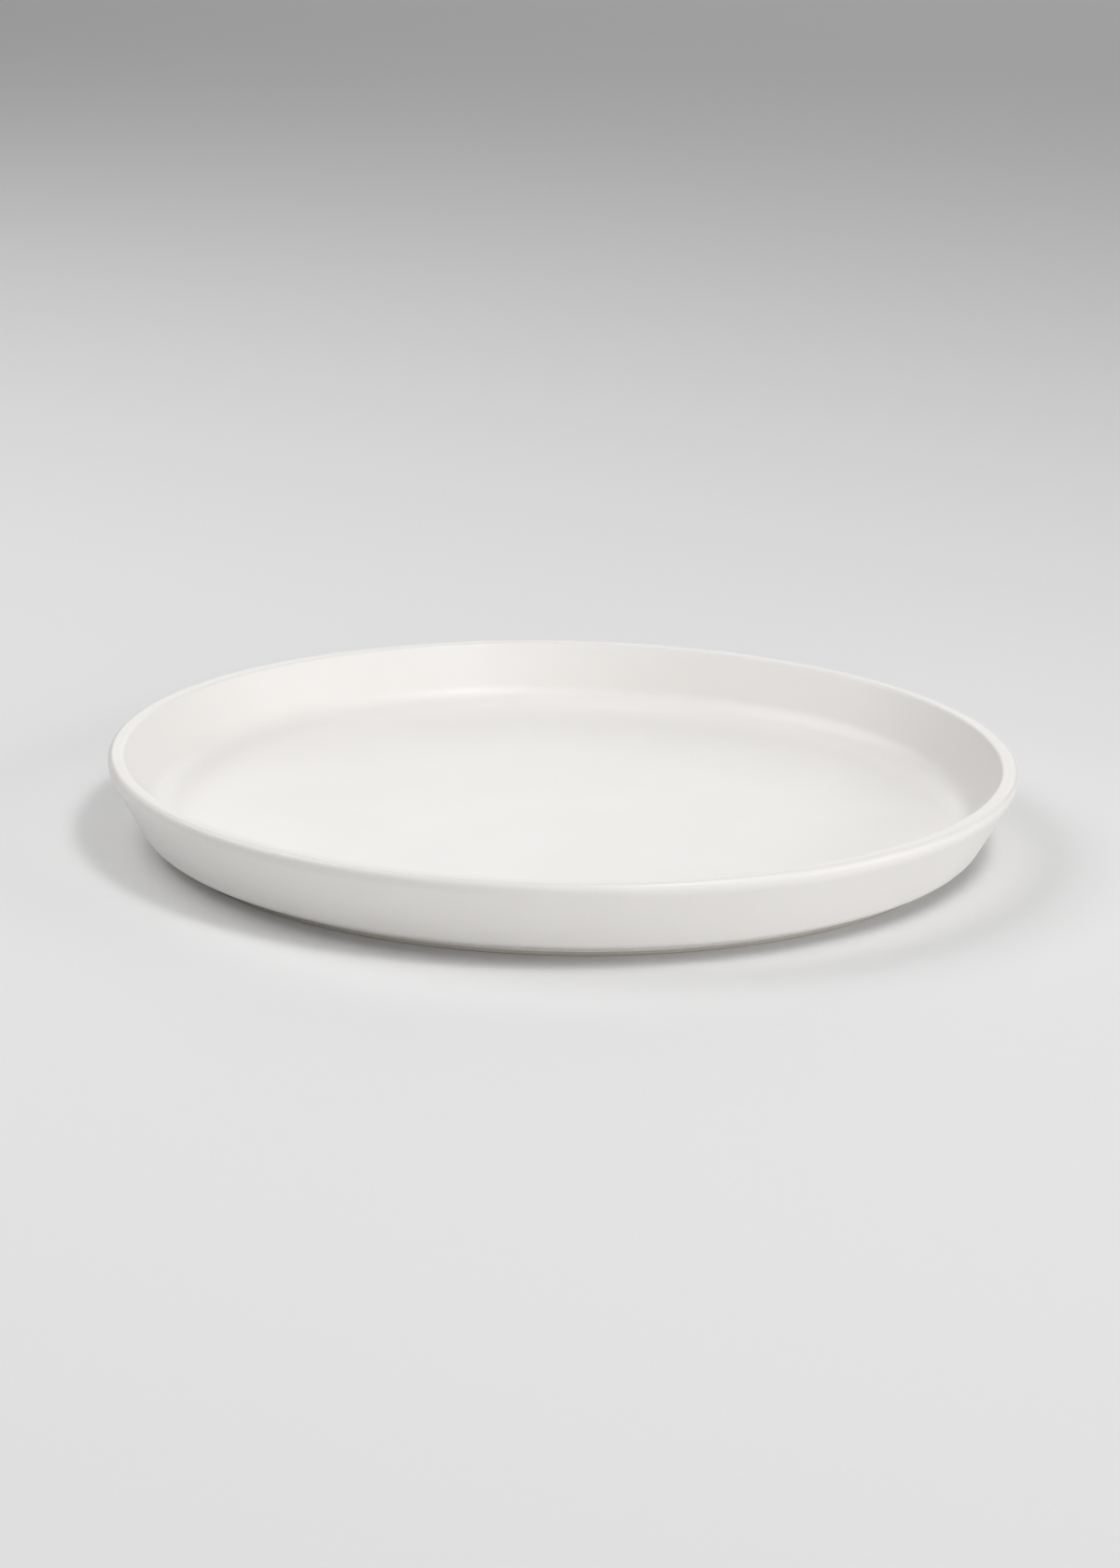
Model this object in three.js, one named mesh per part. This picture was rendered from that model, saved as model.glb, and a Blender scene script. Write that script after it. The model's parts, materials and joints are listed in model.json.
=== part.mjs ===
// A round dinner plate of glazed stoneware: a flat well, a straight flared wall with a soft lip, and a low foot.
//
// The clay body is one turned piece. Its main coat of glaze runs from a wiped line on the outer side of the foot,
// over the wall and the lip, down into the well. A second coat lines the hollow inside the foot. The band that
// the plate stands on is bare clay. Millimetres, +Z up, the axis on Z and the table at Z = 0.

import * as THREE from 'three';

// Sizes of the fired plate, over its glaze. The recess is the hollow inside the foot ring.
const plateDiameter = 270;
const wellDepth = 17.7;
const baseThickness = 5.4;
const recessHeight = 2.6;

// The wall leans outwards from upright, and the cove rounds the corner between it and the well's floor.
const wallLeanDegrees = 29.2;
const wallThickness = 5.6;
const coveRadius = 10.4;

// The lip's narrow top is flat. Its outer side is rounded and eases into the wall, and its inner edge is crisper.
const lipRadius = 1.8;
const lipEaseRadius = 5.5;
const lipInnerRadius = 1.2;

// Below the wall a rounded corner turns in to a narrow shelf that overhangs the foot.
const cornerRadius = 4.8;
const shelfHeight = 3.4;
const shelfWidth = 3.5;

// The foot ring, measured on the bare clay.
const footWidth = 5;
const footEdgeRadius = 0.6;
const footRootRadius = 1;

// The glaze stops short of the table, where it is wiped off the foot.
const glazeThickness = 0.35;
const bareHeight = 1.2;

// Facets of the turned surfaces.
const turnSegments = 56;
const arcStepDegrees = 30;

// Heights and directions that follow. Sections are drawn as radius and height.
const plateRadius = plateDiameter / 2;
const floorHeight = recessHeight + baseThickness;
const plateHeight = floorHeight + wellDepth;
const wallLean = THREE.MathUtils.degToRad(wallLeanDegrees);
const wallUp = new THREE.Vector2(Math.sin(wallLean), Math.cos(wallLean));
const wallOut = new THREE.Vector2(Math.cos(wallLean), -Math.sin(wallLean));
const arcStep = THREE.MathUtils.degToRad(arcStepDegrees);

// The directions that an arc's angles name.
const outwards = 0;
const upwards = Math.PI / 2;
const inwards = Math.PI;
const downwards = -Math.PI / 2;
const squareToWall = -wallLean;

// The lip's two outer roundings meet where it is widest, and the wall's outer face runs down from the lower one.
const lipCentre = new THREE.Vector2(plateRadius - lipRadius, plateHeight - lipRadius);
const easeCentre = new THREE.Vector2(plateRadius - lipEaseRadius, lipCentre.y);
const wallTop = easeCentre.clone().addScaledVector(wallOut, lipEaseRadius);

/** Point at a height, on the line that runs a distance inside the wall's outer face. */
function besideWall(distance, height) {
  const start = wallTop.clone().addScaledVector(wallOut, -distance);
  return start.addScaledVector(wallUp, (height - start.y) / wallUp.y);
}

// Centres of the other roundings that touch the wall.
const lipInnerCentre = besideWall(wallThickness - lipInnerRadius, plateHeight - lipInnerRadius);
const coveCentre = besideWall(wallThickness + coveRadius, floorHeight + coveRadius);
const cornerCentre = besideWall(cornerRadius, shelfHeight + cornerRadius);

// The foot stands back from the corner by the width of the shelf.
const footOuterRadius = cornerCentre.x - shelfWidth - glazeThickness;
const footInnerRadius = footOuterRadius - footWidth;

/** Points of an arc, from one angle to another. */
function arc(centre, radius, fromAngle, toAngle) {
  const steps = Math.ceil(Math.abs(toAngle - fromAngle) / arcStep);
  const points = [];
  for (let step = 0; step <= steps; step += 1) {
    const angle = THREE.MathUtils.lerp(fromAngle, toAngle, step / steps);
    points.push(new THREE.Vector2(centre.x + radius * Math.cos(angle), centre.y + radius * Math.sin(angle)));
  }
  return points;
}

/**
 * Section of what the main coat covers, from the wiped line on the foot to the middle of the well.
 * Depth 0 is the glaze's own face, and a depth of the glaze's thickness is the clay under it.
 */
function outerSection(depth) {
  const build = glazeThickness - depth;
  const rootCentre = new THREE.Vector2(
    footOuterRadius + footRootRadius,
    shelfHeight + glazeThickness - footRootRadius,
  );
  return [
    new THREE.Vector2(footOuterRadius + build, bareHeight + build),
    ...arc(rootCentre, footRootRadius - build, inwards, upwards),
    ...arc(cornerCentre, cornerRadius - depth, downwards, squareToWall),
    ...arc(easeCentre, lipEaseRadius - depth, squareToWall, outwards),
    ...arc(lipCentre, lipRadius - depth, outwards, upwards).slice(1),
    ...arc(lipInnerCentre, lipInnerRadius - depth, upwards, inwards + squareToWall),
    ...arc(coveCentre, coveRadius + depth, squareToWall, downwards),
    new THREE.Vector2(0, floorHeight - depth),
  ];
}

/** Section of the hollow inside the foot, from the middle of the base to the wiped line, at the same depths. */
function undersideSection(depth) {
  const build = glazeThickness - depth;
  const rootCentre = new THREE.Vector2(
    footInnerRadius - footRootRadius,
    recessHeight + glazeThickness - footRootRadius,
  );
  return [
    new THREE.Vector2(0, recessHeight + depth),
    ...arc(rootCentre, footRootRadius - build, upwards, outwards),
    new THREE.Vector2(footInnerRadius - build, bareHeight + build),
  ];
}

/** Section of the bare band that the plate stands on, between the two wiped lines. */
function bareFootSection() {
  const innerEdge = new THREE.Vector2(footInnerRadius + footEdgeRadius, footEdgeRadius);
  const outerEdge = new THREE.Vector2(footOuterRadius - footEdgeRadius, footEdgeRadius);
  return [
    ...arc(innerEdge, footEdgeRadius, -inwards, downwards),
    ...arc(outerEdge, footEdgeRadius, downwards, outwards),
  ];
}

/** Whether a point of a section lies above another, or further out at the same height. */
function isAbove(point, other) {
  return point.y > other.y || (point.y === other.y && point.x > other.x);
}

/**
 * Split every facet of a turned solid from its lower edge to its upper one, the same way round the axis.
 * Where two solids meet, their facets are then the same triangles, whichever way their sections run.
 */
function splitFacetsAlike(geometry, section) {
  const rows = section.length - 1;
  for (let turn = 0; turn < turnSegments; turn += 1) {
    for (let row = 0; row < rows; row += 1) {
      const near = turn * section.length + row;
      const far = near + section.length;
      const triangles = isAbove(section[row + 1], section[row])
        ? [near, far, far + 1, near, far + 1, near + 1]
        : [near, far, near + 1, far + 1, near + 1, far];
      geometry.index.set(triangles, triangles.length * (turn * rows + row));
    }
  }
}

/** Solid turned from a section that starts and ends on the axis. */
function turned(name, section, material) {
  const geometry = new THREE.LatheGeometry(section, turnSegments);
  splitFacetsAlike(geometry, section);
  geometry.rotateX(Math.PI / 2);
  const mesh = new THREE.Mesh(geometry, material);
  mesh.name = name;
  return mesh;
}

function bareClay() {
  return new THREE.MeshStandardMaterial({ color: 0xcbc6bd, roughness: 0.9, metalness: 0 });
}

function satinGlaze() {
  return new THREE.MeshStandardMaterial({ color: 0xf0eeeb, roughness: 0.35, metalness: 0 });
}

function stonewareBody() {
  const section = [
    ...undersideSection(glazeThickness),
    ...bareFootSection(),
    ...outerSection(glazeThickness),
  ];
  return turned('stoneware_body', section, bareClay());
}

function glazeCoat() {
  const section = [
    ...outerSection(glazeThickness).reverse(),
    ...outerSection(0),
  ];
  return turned('glaze_coat', section, satinGlaze());
}

function undersideGlaze() {
  const section = [
    ...undersideSection(0),
    ...undersideSection(glazeThickness).reverse(),
  ];
  return turned('underside_glaze', section, satinGlaze());
}

const plate = new THREE.Group();
plate.add(stonewareBody(), glazeCoat(), undersideGlaze());

export default plate;
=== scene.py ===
"""Looks of a round dinner plate of glazed stoneware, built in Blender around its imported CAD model.

The plate is one fired clay body with two fired coats of glaze. Each of the three is drawn as a half-section
in edit mode and turned on the plate's axis. Metres, +Z up, the axis on Z and the table at Z = 0.
"""

import json
import logging
import math
from dataclasses import dataclass
from enum import Enum
from functools import cached_property
from typing import Any

import bpy
from mathutils import Matrix, Vector

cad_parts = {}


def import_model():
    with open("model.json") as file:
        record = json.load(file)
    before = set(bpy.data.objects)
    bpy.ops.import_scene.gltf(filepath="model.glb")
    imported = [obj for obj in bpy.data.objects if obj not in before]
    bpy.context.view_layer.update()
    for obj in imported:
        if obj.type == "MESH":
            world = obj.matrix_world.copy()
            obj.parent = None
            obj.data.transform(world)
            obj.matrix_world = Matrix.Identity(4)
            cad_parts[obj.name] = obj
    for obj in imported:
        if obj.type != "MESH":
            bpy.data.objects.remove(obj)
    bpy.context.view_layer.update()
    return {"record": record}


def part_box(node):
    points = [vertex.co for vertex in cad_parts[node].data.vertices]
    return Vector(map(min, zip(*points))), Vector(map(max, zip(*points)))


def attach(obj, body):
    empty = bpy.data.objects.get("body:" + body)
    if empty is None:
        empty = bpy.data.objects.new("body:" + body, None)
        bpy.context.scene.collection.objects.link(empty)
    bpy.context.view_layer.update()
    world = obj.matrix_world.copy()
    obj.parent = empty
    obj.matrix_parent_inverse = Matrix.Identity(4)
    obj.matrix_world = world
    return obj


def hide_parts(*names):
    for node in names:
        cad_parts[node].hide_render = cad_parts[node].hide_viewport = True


frame: dict[str, Any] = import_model()

LOG = logging.getLogger("plate")
BODY = "root"

# Directions that the angles of a section name, from outwards round to upwards.
OUTWARDS = 0.0
UPWARDS = math.pi / 2
INWARDS = math.pi
DOWNWARDS = -math.pi / 2

Colour = tuple[float, float, float]


class CadNode(Enum):
    """CAD nodes that the pieces stand for."""

    BODY = "stoneware_body"
    MAIN_GLAZE = "glaze_coat"
    BASE_GLAZE = "underside_glaze"


class Slot(Enum):
    """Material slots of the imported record."""

    CLAY = "bare_stoneware"
    MAIN_GLAZE = "satin_glaze"
    BASE_GLAZE = "underside_glaze"


def section_point(radius: float, height: float) -> Vector:
    """Point of a section, which lies in the plane of X and Z."""
    return Vector((radius, 0.0, height))


@dataclass(frozen=True)
class Bend:
    """Round stretch of a section. A bend of no radius is a plain corner.

    Attributes:
        centre: middle of the rounding, or the corner itself.
        radius: radius of the rounding.
        start: angle at which drawing it begins.
        end: angle at which drawing it ends.
    """

    centre: Vector
    radius: float = 0.0
    start: float = OUTWARDS
    end: float = OUTWARDS

    def at(self, angle: float) -> Vector:
        """Point of the bend at an angle."""
        return self.centre + self.radius * section_point(math.cos(angle), math.sin(angle))

    def reversed(self) -> "Bend":
        """The same bend, drawn from its end to its start."""
        return Bend(self.centre, self.radius, self.end, self.start)


def drawn_back(section: list[Bend]) -> list[Bend]:
    """The same section, drawn from its end to its start."""
    return [bend.reversed() for bend in reversed(section)]


@dataclass(frozen=True)
class Lathe:
    """Draws sections in edit mode and turns them on the plate's axis.

    Attributes:
        facets: facets round the axis.
        bend_step: largest angle from ring to ring on a bend.
        ring_gap: largest gap from ring to ring on a straight stretch.
        holding_gap: distance from each end of a straight stretch to a ring that keeps it flat in the shading.
        merge_gap: points closer than this are one.
        crease: edges sharper than this angle stay sharp in the shading.
    """

    facets: int = 240
    bend_step: float = math.radians(6.0)
    ring_gap: float = 0.012
    holding_gap: float = 0.0003
    merge_gap: float = 1e-6
    crease: float = math.radians(40.0)

    def turn(self, name: str, section: list[Bend]) -> bpy.types.Object:
        """Draw a section that starts and ends on the axis, and turn it into a closed solid.

        Args:
            name: name of the new object.
            section: its bends in drawing order, which straight stretches join.

        Returns:
            The solid, with its object at the origin.
        """
        tip = section[0].at(section[0].start)
        solid = self._start(name, tip)
        for bend in section:
            self._draw_stretch(tip, bend.at(bend.start))
            self._draw_bend(bend)
            tip = bend.at(bend.end)
        bpy.ops.mesh.select_all(action="SELECT")
        bpy.ops.mesh.spin(steps=self.facets, angle=math.tau, center=(0.0, 0.0, 0.0), axis=(0.0, 0.0, 1.0))
        bpy.ops.mesh.select_all(action="SELECT")
        bpy.ops.mesh.remove_doubles(threshold=self.merge_gap)
        bpy.ops.mesh.normals_make_consistent(inside=False)
        bpy.ops.object.mode_set(mode="OBJECT")
        bpy.ops.object.shade_smooth_by_angle(angle=self.crease)
        return solid

    def _start(self, name: str, point: Vector) -> bpy.types.Object:
        """Begin a section as a single selected vertex, in edit mode.

        Args:
            name: name of the new object.
            point: where the section starts.

        Returns:
            The object being edited.
        """
        bpy.ops.object.select_all(action="DESELECT")
        bpy.ops.mesh.primitive_plane_add(size=self.holding_gap)
        started = bpy.context.active_object
        started.name = name
        started.data.name = name
        bpy.ops.object.mode_set(mode="EDIT")
        bpy.ops.mesh.merge(type="CENTER")
        bpy.ops.transform.translate(value=point)
        return started

    def _draw_stretch(self, start: Vector, end: Vector) -> None:
        """Extrude the section's last vertex along a straight stretch.

        Args:
            start: where the section's last vertex is.
            end: where the stretch ends.
        """
        length = (end - start).length
        if length < self.merge_gap:
            return
        for step in self._stretch_steps(length):
            move = (end - start) * (step / length)
            bpy.ops.mesh.extrude_vertices_move(TRANSFORM_OT_translate={"value": move})

    def _stretch_steps(self, length: float) -> list[float]:
        """Distances from ring to ring along a straight stretch.

        Args:
            length: length of the stretch.

        Returns:
            The distances, which add up to the length.
        """
        middle = length - 2 * self.holding_gap
        if middle < self.holding_gap:
            return [length]
        count = math.ceil(middle / self.ring_gap)
        return [self.holding_gap, *[middle / count] * count, self.holding_gap]

    def _draw_bend(self, bend: Bend) -> None:
        """Spin the section's last vertex round a bend.

        Args:
            bend: the bend, which starts at that vertex.
        """
        sweep = bend.end - bend.start
        if bend.radius * abs(sweep) < self.merge_gap:
            return
        steps = math.ceil(abs(sweep) / self.bend_step)
        bpy.ops.mesh.spin(steps=steps, angle=sweep, center=bend.centre, axis=(0.0, 1.0, 0.0))


@dataclass(frozen=True)
class PlateShape:
    """Sizes of the fired plate over its glaze, and the faces of its section.

    Attributes:
        rim_radius: half of the plate's diameter.
        height: top of the lip above the table.
        floor_height: the well's floor above the table.
        base_height: the clay above the hollow inside the foot, above the table.
        foot_inner_radius: inner side of the foot ring.
        glaze: thickness of the glaze.
        bare_height: where the glaze is wiped off the foot, above the table.
        wall_lean: how far the wall leans outwards from upright.
        wall_thickness: thickness of the wall, square to it.
        lip_radius: rounding over the lip's outer side.
        lip_ease_radius: gentler rounding from the lip's widest ring into the wall.
        lip_inner_radius: rounding of the lip's inner edge.
        cove_radius: rounding between the wall and the well's floor.
        corner_radius: rounding below the wall.
        shelf_height: the narrow shelf over the foot, above the table.
        foot_width: width of the foot ring.
        foot_edge_radius: rounding of the two edges that the plate stands on.
        foot_root_radius: rounding where the foot grows out of the base.
    """

    rim_radius: float
    height: float
    floor_height: float
    base_height: float
    foot_inner_radius: float
    glaze: float
    bare_height: float
    wall_lean: float = math.radians(29.2)
    wall_thickness: float = 0.0056
    lip_radius: float = 0.0018
    lip_ease_radius: float = 0.0055
    lip_inner_radius: float = 0.0012
    cove_radius: float = 0.0104
    corner_radius: float = 0.0048
    shelf_height: float = 0.0034
    foot_width: float = 0.005
    foot_edge_radius: float = 0.0006
    foot_root_radius: float = 0.001

    @classmethod
    def from_frame(cls) -> "PlateShape":
        """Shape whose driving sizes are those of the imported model.

        Returns:
            The shape.
        """
        _, clay_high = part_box(CadNode.BODY.value)
        glaze_low, glaze_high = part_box(CadNode.MAIN_GLAZE.value)
        _, base_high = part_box(CadNode.BASE_GLAZE.value)
        mounts = {mount["name"]: mount for mount in frame["record"]["mounts"]}
        return cls(
            rim_radius=glaze_high.x,
            height=glaze_high.z,
            floor_height=mounts["well_floor"]["pos_m"][2],
            base_height=base_high.z,
            foot_inner_radius=base_high.x,
            glaze=glaze_high.x - clay_high.x,
            bare_height=glaze_low.z,
        )

    @property
    def foot_outer_radius(self) -> float:
        """Outer side of the foot ring, on the clay."""
        return self.foot_inner_radius + self.foot_width

    @property
    def square_to_wall(self) -> float:
        """Angle of the direction out of the wall's outer face."""
        return -self.wall_lean

    @property
    def lip_centre(self) -> Vector:
        """Middle of the rounding over the lip's outer side."""
        return section_point(self.rim_radius - self.lip_radius, self.height - self.lip_radius)

    @property
    def ease_centre(self) -> Vector:
        """Middle of the rounding from the lip into the wall."""
        return section_point(self.rim_radius - self.lip_ease_radius, self.height - self.lip_radius)

    def inside_wall(self, distance: float, height: float) -> Vector:
        """Point at a height, inside the wall's outer face.

        Args:
            distance: how far inside that face, square to it.
            height: the height.

        Returns:
            The point.
        """
        wall_out = section_point(math.cos(self.wall_lean), -math.sin(self.wall_lean))
        level = section_point(0.0, height)
        reach = (self.ease_centre - level).dot(wall_out) + self.lip_ease_radius - distance
        return level + section_point(reach / wall_out.x, 0.0)

    def outer_face(self, depth: float) -> list[Bend]:
        """Face under the main coat, from the root of the foot to the middle of the well.

        Args:
            depth: depth under the glaze's own face. At the glaze's thickness the face is the clay's.

        Returns:
            The bends of the face.
        """
        root = section_point(
            self.foot_outer_radius + self.foot_root_radius,
            self.shelf_height + self.glaze - self.foot_root_radius,
        )
        corner = self.inside_wall(self.corner_radius, self.shelf_height + self.corner_radius)
        inner_lip = self.inside_wall(
            self.wall_thickness - self.lip_inner_radius,
            self.height - self.lip_inner_radius,
        )
        cove = self.inside_wall(self.wall_thickness + self.cove_radius, self.floor_height + self.cove_radius)
        return [
            Bend(root, self.foot_root_radius - self.glaze + depth, INWARDS, UPWARDS),
            Bend(corner, self.corner_radius - depth, DOWNWARDS, self.square_to_wall),
            Bend(self.ease_centre, self.lip_ease_radius - depth, self.square_to_wall, OUTWARDS),
            Bend(self.lip_centre, self.lip_radius - depth, OUTWARDS, UPWARDS),
            Bend(inner_lip, self.lip_inner_radius - depth, UPWARDS, INWARDS + self.square_to_wall),
            Bend(cove, self.cove_radius + depth, self.square_to_wall, DOWNWARDS),
            Bend(section_point(0.0, self.floor_height - depth)),
        ]

    def base_face(self, depth: float) -> list[Bend]:
        """Face under the base's coat, from the middle of the base to the root of the foot.

        Args:
            depth: depth under the glaze's own face. At the glaze's thickness the face is the clay's.

        Returns:
            The bends of the face.
        """
        root = section_point(
            self.foot_inner_radius - self.foot_root_radius,
            self.base_height - self.foot_root_radius,
        )
        middle = section_point(0.0, self.base_height - self.glaze + depth)
        return [
            Bend(middle),
            Bend(root, self.foot_root_radius - self.glaze + depth, UPWARDS, OUTWARDS),
        ]

    def bare_foot(self) -> list[Bend]:
        """Bare clay that the plate stands on, from the foot's inner side to its outer one.

        Returns:
            The bends of the clay.
        """
        rounding = self.foot_edge_radius
        inner_edge = section_point(self.foot_inner_radius + rounding, rounding)
        outer_edge = section_point(self.foot_outer_radius - rounding, rounding)
        return [
            Bend(inner_edge, rounding, -INWARDS, DOWNWARDS),
            Bend(outer_edge, rounding, DOWNWARDS, OUTWARDS),
        ]

    def wiped_edge(self, foot_side: float, start: float) -> Bend:
        """Rounded edge of a coat, where it was wiped off a side of the foot.

        Args:
            foot_side: radius of that side of the foot.
            start: angle at which the edge begins.

        Returns:
            The edge, a quarter of a circle.
        """
        centre = section_point(foot_side, self.bare_height + self.glaze)
        return Bend(centre, self.glaze, start, start + UPWARDS)


class Wire:
    """Output of a shader node. Arithmetic on wires and numbers adds Math nodes."""

    def __init__(self, bench: "ShaderBench", socket: bpy.types.NodeSocket) -> None:
        """Keep the socket and the bench that its node stands on."""
        self.bench = bench
        self.socket = socket

    def _maths(self, operation: str, first: "Wire | float", second: "Wire | float") -> "Wire":
        """Result of a Math node.

        Args:
            operation: the node's operation.
            first: its first value.
            second: its second value.

        Returns:
            The node's output.
        """
        return self.bench.add("ShaderNodeMath", {"operation": operation}, {0: first, 1: second})

    def __add__(self, other: "Wire | float") -> "Wire":
        """Sum."""
        return self._maths("ADD", self, other)

    def __radd__(self, other: float) -> "Wire":
        """Sum that starts with a number."""
        return self._maths("ADD", other, self)

    def __sub__(self, other: "Wire | float") -> "Wire":
        """Difference."""
        return self._maths("SUBTRACT", self, other)

    def __rsub__(self, other: float) -> "Wire":
        """Difference from a number."""
        return self._maths("SUBTRACT", other, self)

    def __mul__(self, other: "Wire | float") -> "Wire":
        """Product."""
        return self._maths("MULTIPLY", self, other)

    def __rmul__(self, other: float) -> "Wire":
        """Product that starts with a number."""
        return self._maths("MULTIPLY", other, self)


class ShaderBench:
    """Node tree of one new material."""

    # Sockets of a Mix node that mixes colours.
    MIX_FACTOR = 0
    MIX_FIRST = 6
    MIX_SECOND = 7
    MIX_RESULT = 2

    # Turn of a Wave texture's phase over a unit of length, at a scale of 1.
    WAVE_TURN = 20.0

    # Mean of a Noise texture.
    NOISE_MEAN = 0.5

    def __init__(self, name: str) -> None:
        """Start a material whose node tree holds only its output.

        Args:
            name: name of the material.
        """
        self.material = bpy.data.materials.new(name)
        self.material.use_nodes = True
        self.output = self.material.node_tree.nodes["Material Output"]
        self.material.node_tree.nodes.remove(self.material.node_tree.nodes["Principled BSDF"])

    @cached_property
    def place(self) -> Wire:
        """Object coordinates."""
        return self.add("ShaderNodeTexCoord", {}, {}, "Object")

    def add(
        self,
        kind: str,
        settings: dict[str, Any],
        sockets: dict[str | int, Any],
        output: str | int = 0,
    ) -> Wire:
        """Add a node.

        Args:
            kind: its type.
            settings: its properties, which are set first.
            sockets: a wire or a plain value for each of its inputs that is set.
            output: which of its outputs to return.

        Returns:
            That output.
        """
        tree = self.material.node_tree
        node = tree.nodes.new(kind)
        for name, value in settings.items():
            setattr(node, name, value)
        for name, value in sockets.items():
            if isinstance(value, Wire):
                tree.links.new(value.socket, node.inputs[name])
            else:
                node.inputs[name].default_value = value
        return Wire(self, node.outputs[output])

    def noise(self, size: float, detail: float = 2.0, roughness: float = 0.5) -> Wire:
        """Cloudy noise, about a half on the whole.

        Args:
            size: size of its patches, in metres.
            detail: number of finer layers.
            roughness: strength of the finer layers.

        Returns:
            The noise, from 0 to 1.
        """
        sockets = {"Vector": self.place, "Scale": 1 / size, "Detail": detail, "Roughness": roughness}
        return self.add("ShaderNodeTexNoise", {}, sockets)

    def rings(self, gap: float, waviness: float) -> Wire:
        """Rings round the plate's axis.

        Args:
            gap: gap from ring to ring, in metres.
            waviness: how far the rings stray.

        Returns:
            The rings' relief, from 0 to 1.
        """
        settings = {"wave_type": "RINGS", "rings_direction": "Z"}
        scale = math.tau / (self.WAVE_TURN * gap)
        sockets = {"Vector": self.place, "Scale": scale, "Distortion": waviness}
        return self.add("ShaderNodeTexWave", settings, sockets, "Fac")

    def height(self) -> Wire:
        """Height above the table."""
        return self.add("ShaderNodeSeparateXYZ", {}, {0: self.place}, "Z")

    def rise(self, value: Wire, low: float, high: float) -> Wire:
        """Smooth step.

        Args:
            value: what rises.
            low: where the step starts from 0.
            high: where the step reaches 1.

        Returns:
            The step.
        """
        settings = {"interpolation_type": "SMOOTHSTEP"}
        return self.add("ShaderNodeMapRange", settings, {"Value": value, "From Min": low, "From Max": high})

    def mix(self, factor: Wire, first: "Wire | Colour", second: "Wire | Colour") -> Wire:
        """Colour between two colours.

        Args:
            factor: share of the second colour.
            first: the first colour.
            second: the second colour.

        Returns:
            The mixed colour.
        """
        ends = {self.MIX_FIRST: first, self.MIX_SECOND: second}
        sockets = {slot: end if isinstance(end, Wire) else (*end, 1.0) for slot, end in ends.items()}
        sockets[self.MIX_FACTOR] = factor
        return self.add("ShaderNodeMix", {"data_type": "RGBA"}, sockets, self.MIX_RESULT)

    def bump(self, height: Wire, distance: float, under: Wire | None = None) -> Wire:
        """Normal of an uneven surface.

        Args:
            height: the unevenness, from 0 to 1.
            distance: how high 1 stands, in metres.
            under: normal of a coarser unevenness, if it has one.

        Returns:
            The normal.
        """
        sockets = {"Height": height, "Distance": distance}
        if under is not None:
            sockets["Normal"] = under
        return self.add("ShaderNodeBump", {}, sockets)

    def finish(self, sockets: dict[str, Any]) -> bpy.types.Material:
        """End the tree in a Principled shader.

        Args:
            sockets: the shader's inputs that are set.

        Returns:
            The material.
        """
        shader = self.add("ShaderNodeBsdfPrincipled", {}, sockets)
        self.material.node_tree.links.new(shader.socket, self.output.inputs["Surface"])
        return self.material


@dataclass(frozen=True)
class SatinGlaze:
    """Satin off-white glaze, a little thinner and warmer at its wiped edge and on the lip, where the darker
    colour is also painted shade on the lip's top.

    Attributes:
        name: name of the material.
        colour: colour at full thickness.
        cloud_colour: colour of the faint clouds in it.
        thin_and_shade_colour: colour where it is thin, which on the lip also serves as painted shade.
        lip_thin_and_shade_share: how much of that colour shows on the lip, as thinner glaze and painted
            shade.
        thin_and_shade_band: height of the thin glaze above the wiped edge, and of the thinner glaze with
            painted shade below the lip's top.
        roughness: mean roughness.
        roughness_spread: how far the roughness varies in all.
        cloud_size: size of the clouds.
        cloud_edges: values of the noise at which a cloud starts and is full.
        peel_size: size of the dimples in the fired skin.
        peel_height: height of the dimples.
        ring_gap: gap between turning rings under the skin, or 0 where there are none.
        ring_height: height of the turning rings.
        ring_waviness: how far the turning rings stray.
    """

    name: str
    colour: Colour = (0.87, 0.85, 0.826)
    cloud_colour: Colour = (0.86, 0.84, 0.816)
    thin_and_shade_colour: Colour = (0.78, 0.755, 0.715)
    # Share of the darker colour on the lip: partly thinner glaze, partly painted shade that darkens the lip's
    # top.
    lip_thin_and_shade_share: float = 0.35
    thin_and_shade_band: float = 0.0009
    roughness: float = 0.38
    roughness_spread: float = 0.06
    cloud_size: float = 0.03
    cloud_edges: tuple[float, float] = (0.35, 0.65)
    peel_size: float = 0.0022
    peel_height: float = 4e-6
    ring_gap: float = 0.0
    ring_height: float = 6e-6
    ring_waviness: float = 0.6

    def material(self, shape: PlateShape) -> bpy.types.Material:
        """Material of the glaze.

        Args:
            shape: the plate that it is on.

        Returns:
            The material.
        """
        bench = ShaderBench(self.name)
        clouds = bench.noise(self.cloud_size, detail=3.0)
        height = bench.height()
        # Band below the lip's top that gets the darker colour: thinner glaze there, plus painted shade.
        lip_thin_and_shade = bench.rise(height, shape.height - self.thin_and_shade_band, shape.height)
        wiped = 1 - bench.rise(height, shape.bare_height, shape.bare_height + self.thin_and_shade_band)
        cloudy = bench.mix(bench.rise(clouds, *self.cloud_edges), self.colour, self.cloud_colour)
        peel = bench.noise(self.peel_size, detail=1.0)
        return bench.finish({
            "Base Color": bench.mix(lip_thin_and_shade * self.lip_thin_and_shade_share + wiped, cloudy, self.thin_and_shade_colour),
            "Roughness": self.roughness + (clouds - bench.NOISE_MEAN) * self.roughness_spread,
            "Normal": bench.bump(peel, self.peel_height, self._rings(bench)),
        })

    def _rings(self, bench: ShaderBench) -> Wire | None:
        """Normal of the turning rings, if the glaze shows any.

        Args:
            bench: the material's nodes.

        Returns:
            The normal, or nothing.
        """
        if not self.ring_gap:
            return None
        return bench.bump(bench.rings(self.ring_gap, self.ring_waviness), self.ring_height)


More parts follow.
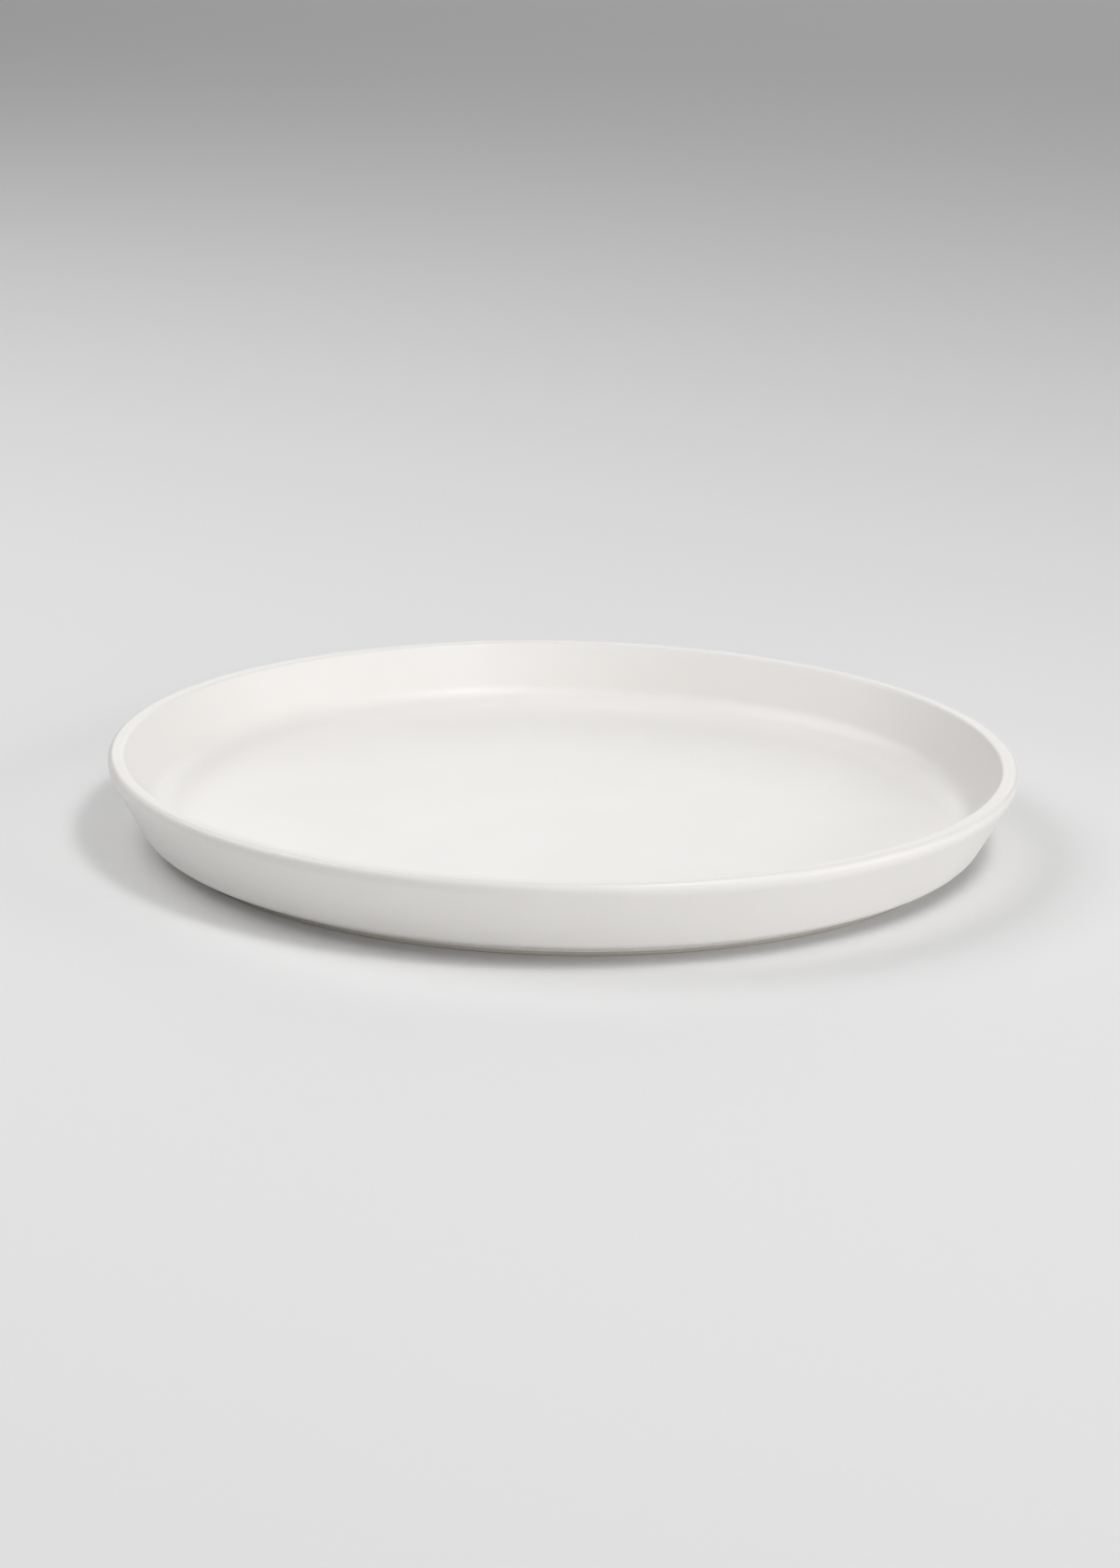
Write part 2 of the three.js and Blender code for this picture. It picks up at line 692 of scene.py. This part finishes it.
@dataclass(frozen=True)
class BareStoneware:
    """Bare fired clay, matt, with a fine grain and a few darker specks.

    Attributes:
        name: name of the material.
        colour: main colour.
        grain_colour: colour of the darker grain.
        speck_colour: colour of the specks.
        grain_size: size of the grain.
        speck_gap: mean gap between specks.
        speck_radius: radius of a speck, as a share of that gap.
        roughness: mean roughness.
        roughness_spread: how far the roughness varies in all.
        grain_height: height of the grain.
    """

    name: str = "bare stoneware"
    colour: Colour = (0.60, 0.565, 0.51)
    grain_colour: Colour = (0.50, 0.46, 0.40)
    speck_colour: Colour = (0.24, 0.19, 0.14)
    grain_size: float = 0.0006
    speck_gap: float = 0.0025
    speck_radius: float = 0.07
    roughness: float = 0.88
    roughness_spread: float = 0.1
    grain_height: float = 3e-5

    def material(self) -> bpy.types.Material:
        """Material of the clay.

        Returns:
            The material.
        """
        bench = ShaderBench(self.name)
        grain = bench.noise(self.grain_size, detail=4.0, roughness=0.6)
        cells = bench.add("ShaderNodeTexVoronoi", {}, {"Vector": bench.place, "Scale": 1 / self.speck_gap})
        specks = 1 - bench.rise(cells, self.speck_radius / 2, self.speck_radius)
        grained = bench.mix(grain, self.colour, self.grain_colour)
        return bench.finish({
            "Base Color": bench.mix(specks, grained, self.speck_colour),
            "Roughness": self.roughness + (grain - bench.NOISE_MEAN) * self.roughness_spread,
            "Normal": bench.bump(grain, self.grain_height),
        })


@dataclass(frozen=True)
class Plate:
    """The plate: its clay body and its two coats of glaze.

    Attributes:
        shape: its sizes and the faces of its section.
        lathe: what its pieces are turned on.
    """

    shape: PlateShape
    lathe: Lathe

    def build(self) -> list[bpy.types.Object]:
        """Make, dress and seat every piece."""
        return [self.fired_body(), self.main_glaze(), self.base_glaze()]

    def fired_body(self) -> bpy.types.Object:
        """Clay body, bare on the band that it stands on.

        Returns:
            The piece.
        """
        shape = self.shape
        section = [
            *shape.base_face(shape.glaze),
            *shape.bare_foot(),
            *shape.outer_face(shape.glaze),
        ]
        piece = self.lathe.turn("fired_body", section)
        return self._seat(piece, BareStoneware().material(), CadNode.BODY)

    def main_glaze(self) -> bpy.types.Object:
        """Coat over the well, the lip, the wall and the outer side of the foot.

        Returns:
            The piece.
        """
        shape = self.shape
        section = [
            *drawn_back(shape.outer_face(shape.glaze)),
            shape.wiped_edge(shape.foot_outer_radius, DOWNWARDS),
            *shape.outer_face(0.0),
        ]
        piece = self.lathe.turn("main_glaze", section)
        finish = SatinGlaze("satin glaze")
        return self._seat(piece, finish.material(shape), CadNode.MAIN_GLAZE)

    def base_glaze(self) -> bpy.types.Object:
        """Coat in the hollow inside the foot.

        Returns:
            The piece.
        """
        shape = self.shape
        section = [
            *shape.base_face(0.0),
            shape.wiped_edge(shape.foot_inner_radius, INWARDS),
            *drawn_back(shape.base_face(shape.glaze)),
        ]
        piece = self.lathe.turn("base_glaze", section)
        finish = SatinGlaze("underside glaze", ring_gap=0.0024)
        return self._seat(piece, finish.material(shape), CadNode.BASE_GLAZE)

    def _seat(
        self,
        piece: bpy.types.Object,
        material: bpy.types.Material,
        node: CadNode,
    ) -> bpy.types.Object:
        """Dress a piece and put it in the frame.

        Args:
            piece: the piece.
            material: its finish.
            node: the CAD node that it stands for.

        Returns:
            The piece.
        """
        piece.data.materials.append(material)
        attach(piece, BODY)
        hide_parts(node.value)
        return piece


@dataclass(frozen=True)
class Softbox:
    """Softbox that faces the plate.

    Attributes:
        name: name of the lamp.
        azimuth: direction round the plate in degrees, 0 on its right and 270 on the camera's side.
        elevation: direction above the table in degrees.
        width: width of its face.
        height: height of its face.
        watts: power.
        distance: distance from the plate.
    """

    name: str
    azimuth: float
    elevation: float
    width: float
    height: float
    watts: float
    distance: float = 1.6

    def hang(self) -> None:
        """Add the lamp."""
        turn = math.radians(self.azimuth)
        climb = math.radians(self.elevation)
        level = Vector((math.cos(turn), math.sin(turn), 0.0))
        towards = math.cos(climb) * level + Vector((0.0, 0.0, math.sin(climb)))
        facing = (-towards).to_track_quat("-Z", "Y").to_euler()
        bpy.ops.object.light_add(type="AREA", location=towards * self.distance, rotation=facing)
        lamp = bpy.context.active_object
        lamp.name = self.name
        lamp.visible_camera = False
        lamp.data.shape = "RECTANGLE"
        lamp.data.size = self.width
        lamp.data.size_y = self.height
        lamp.data.energy = self.watts


@dataclass(frozen=True)
class Viewpoint:
    """Camera at the photograph's viewing angle.

    Attributes:
        aim_across: how far right of the plate's axis the middle of the picture is.
        aim_height: how far above the table the middle of the picture is.
        radii_away: distance from there, in radii of the plate.
        elevation: how far the camera looks down, in degrees.
        roll: how far the camera is turned anticlockwise, in degrees.
        lens: focal length in millimetres, for the sensor's width along the picture's long side.
        sensor_width: that width in millimetres.
    """

    aim_across: float = -0.00079
    aim_height: float = 0.01488
    radii_away: float = 9.0
    elevation: float = 16.016
    roll: float = 1.188
    lens: float = 93.38
    sensor_width: float = 36.0

    def set_up(self, shape: PlateShape) -> None:
        """Add the camera and make it the scene's.

        Args:
            shape: the plate that it looks at.
        """
        climb = math.radians(self.elevation)
        aim = Vector((self.aim_across, 0.0, self.aim_height))
        towards = Vector((0.0, -math.cos(climb), math.sin(climb)))
        place = aim + self.radii_away * shape.rim_radius * towards
        tilt = Matrix.Rotation(math.pi / 2 - climb, 3, "X")
        roll = Matrix.Rotation(math.radians(self.roll), 3, "Z")
        bpy.ops.object.camera_add(location=place, rotation=(tilt @ roll).to_euler())
        camera = bpy.context.active_object
        camera.data.lens = self.lens
        camera.data.sensor_width = self.sensor_width
        bpy.context.scene.camera = camera


@dataclass(frozen=True)
class Studio:
    """Plain pale floor, soft light and the camera.

    Attributes:
        shape: the plate that is shown.
        floor_size: length of the floor's sides.
        floor_colour: colour of the floor.
        floor_roughness: roughness of the floor.
        softboxes: the lamps. The low ones stand far off, so that they light the floor evenly.
        fill: strength of the even light from all round.
    """

    shape: PlateShape
    floor_size: float = 24.0
    floor_colour: Colour = (0.82, 0.82, 0.82)
    floor_roughness: float = 0.9
    softboxes: tuple[Softbox, ...] = (
        Softbox("key", azimuth=317.0, elevation=63.0, width=1.0, height=1.0, watts=4.8),
        Softbox("spark", azimuth=317.0, elevation=63.0, width=0.3, height=0.3, watts=5.2, distance=1.5),
        Softbox("right", azimuth=347.0, elevation=16.0, width=4.5, height=2.6, watts=100.0, distance=6.0),
        Softbox("front", azimuth=290.0, elevation=12.0, width=4.5, height=2.25, watts=90.0, distance=6.0),
        Softbox("back", azimuth=160.0, elevation=50.0, width=1.3, height=1.0, watts=11.5),
        Softbox("sheen", azimuth=85.0, elevation=17.0, width=4.8, height=2.55, watts=56.0, distance=6.0),
    )
    fill: float = 0.12

    def build(self) -> None:
        """Set the whole studio up."""
        bpy.context.scene.view_settings.view_transform = "Standard"
        self._lay_floor()
        self._light()
        Viewpoint().set_up(self.shape)

    def _lay_floor(self) -> None:
        """Lay the floor at the table's height."""
        bpy.ops.mesh.primitive_plane_add(size=self.floor_size)
        floor = bpy.context.active_object
        floor.name = "floor"
        bench = ShaderBench("floor")
        colour = (*self.floor_colour, 1.0)
        floor.data.materials.append(bench.finish({"Base Color": colour, "Roughness": self.floor_roughness}))

    def _light(self) -> None:
        """Hang the softboxes and set the even fill."""
        for softbox in self.softboxes:
            softbox.hang()
        world = bpy.data.worlds.new("studio")
        world.use_nodes = True
        world.node_tree.nodes["Background"].inputs["Strength"].default_value = self.fill
        world.node_tree.nodes["Background"].inputs["Color"].default_value = (1.0, 1.0, 1.0, 1.0)
        bpy.context.scene.world = world


def main() -> None:
    """Build the plate and the studio round it."""
    logging.basicConfig(level=logging.INFO, format="%(name)s: %(message)s")
    shape = PlateShape.from_frame()
    for piece in Plate(shape, Lathe()).build():
        LOG.info("%s has %d faces", piece.name, len(piece.data.polygons))
    Studio(shape).build()


if __name__ == "__main__":
    main()
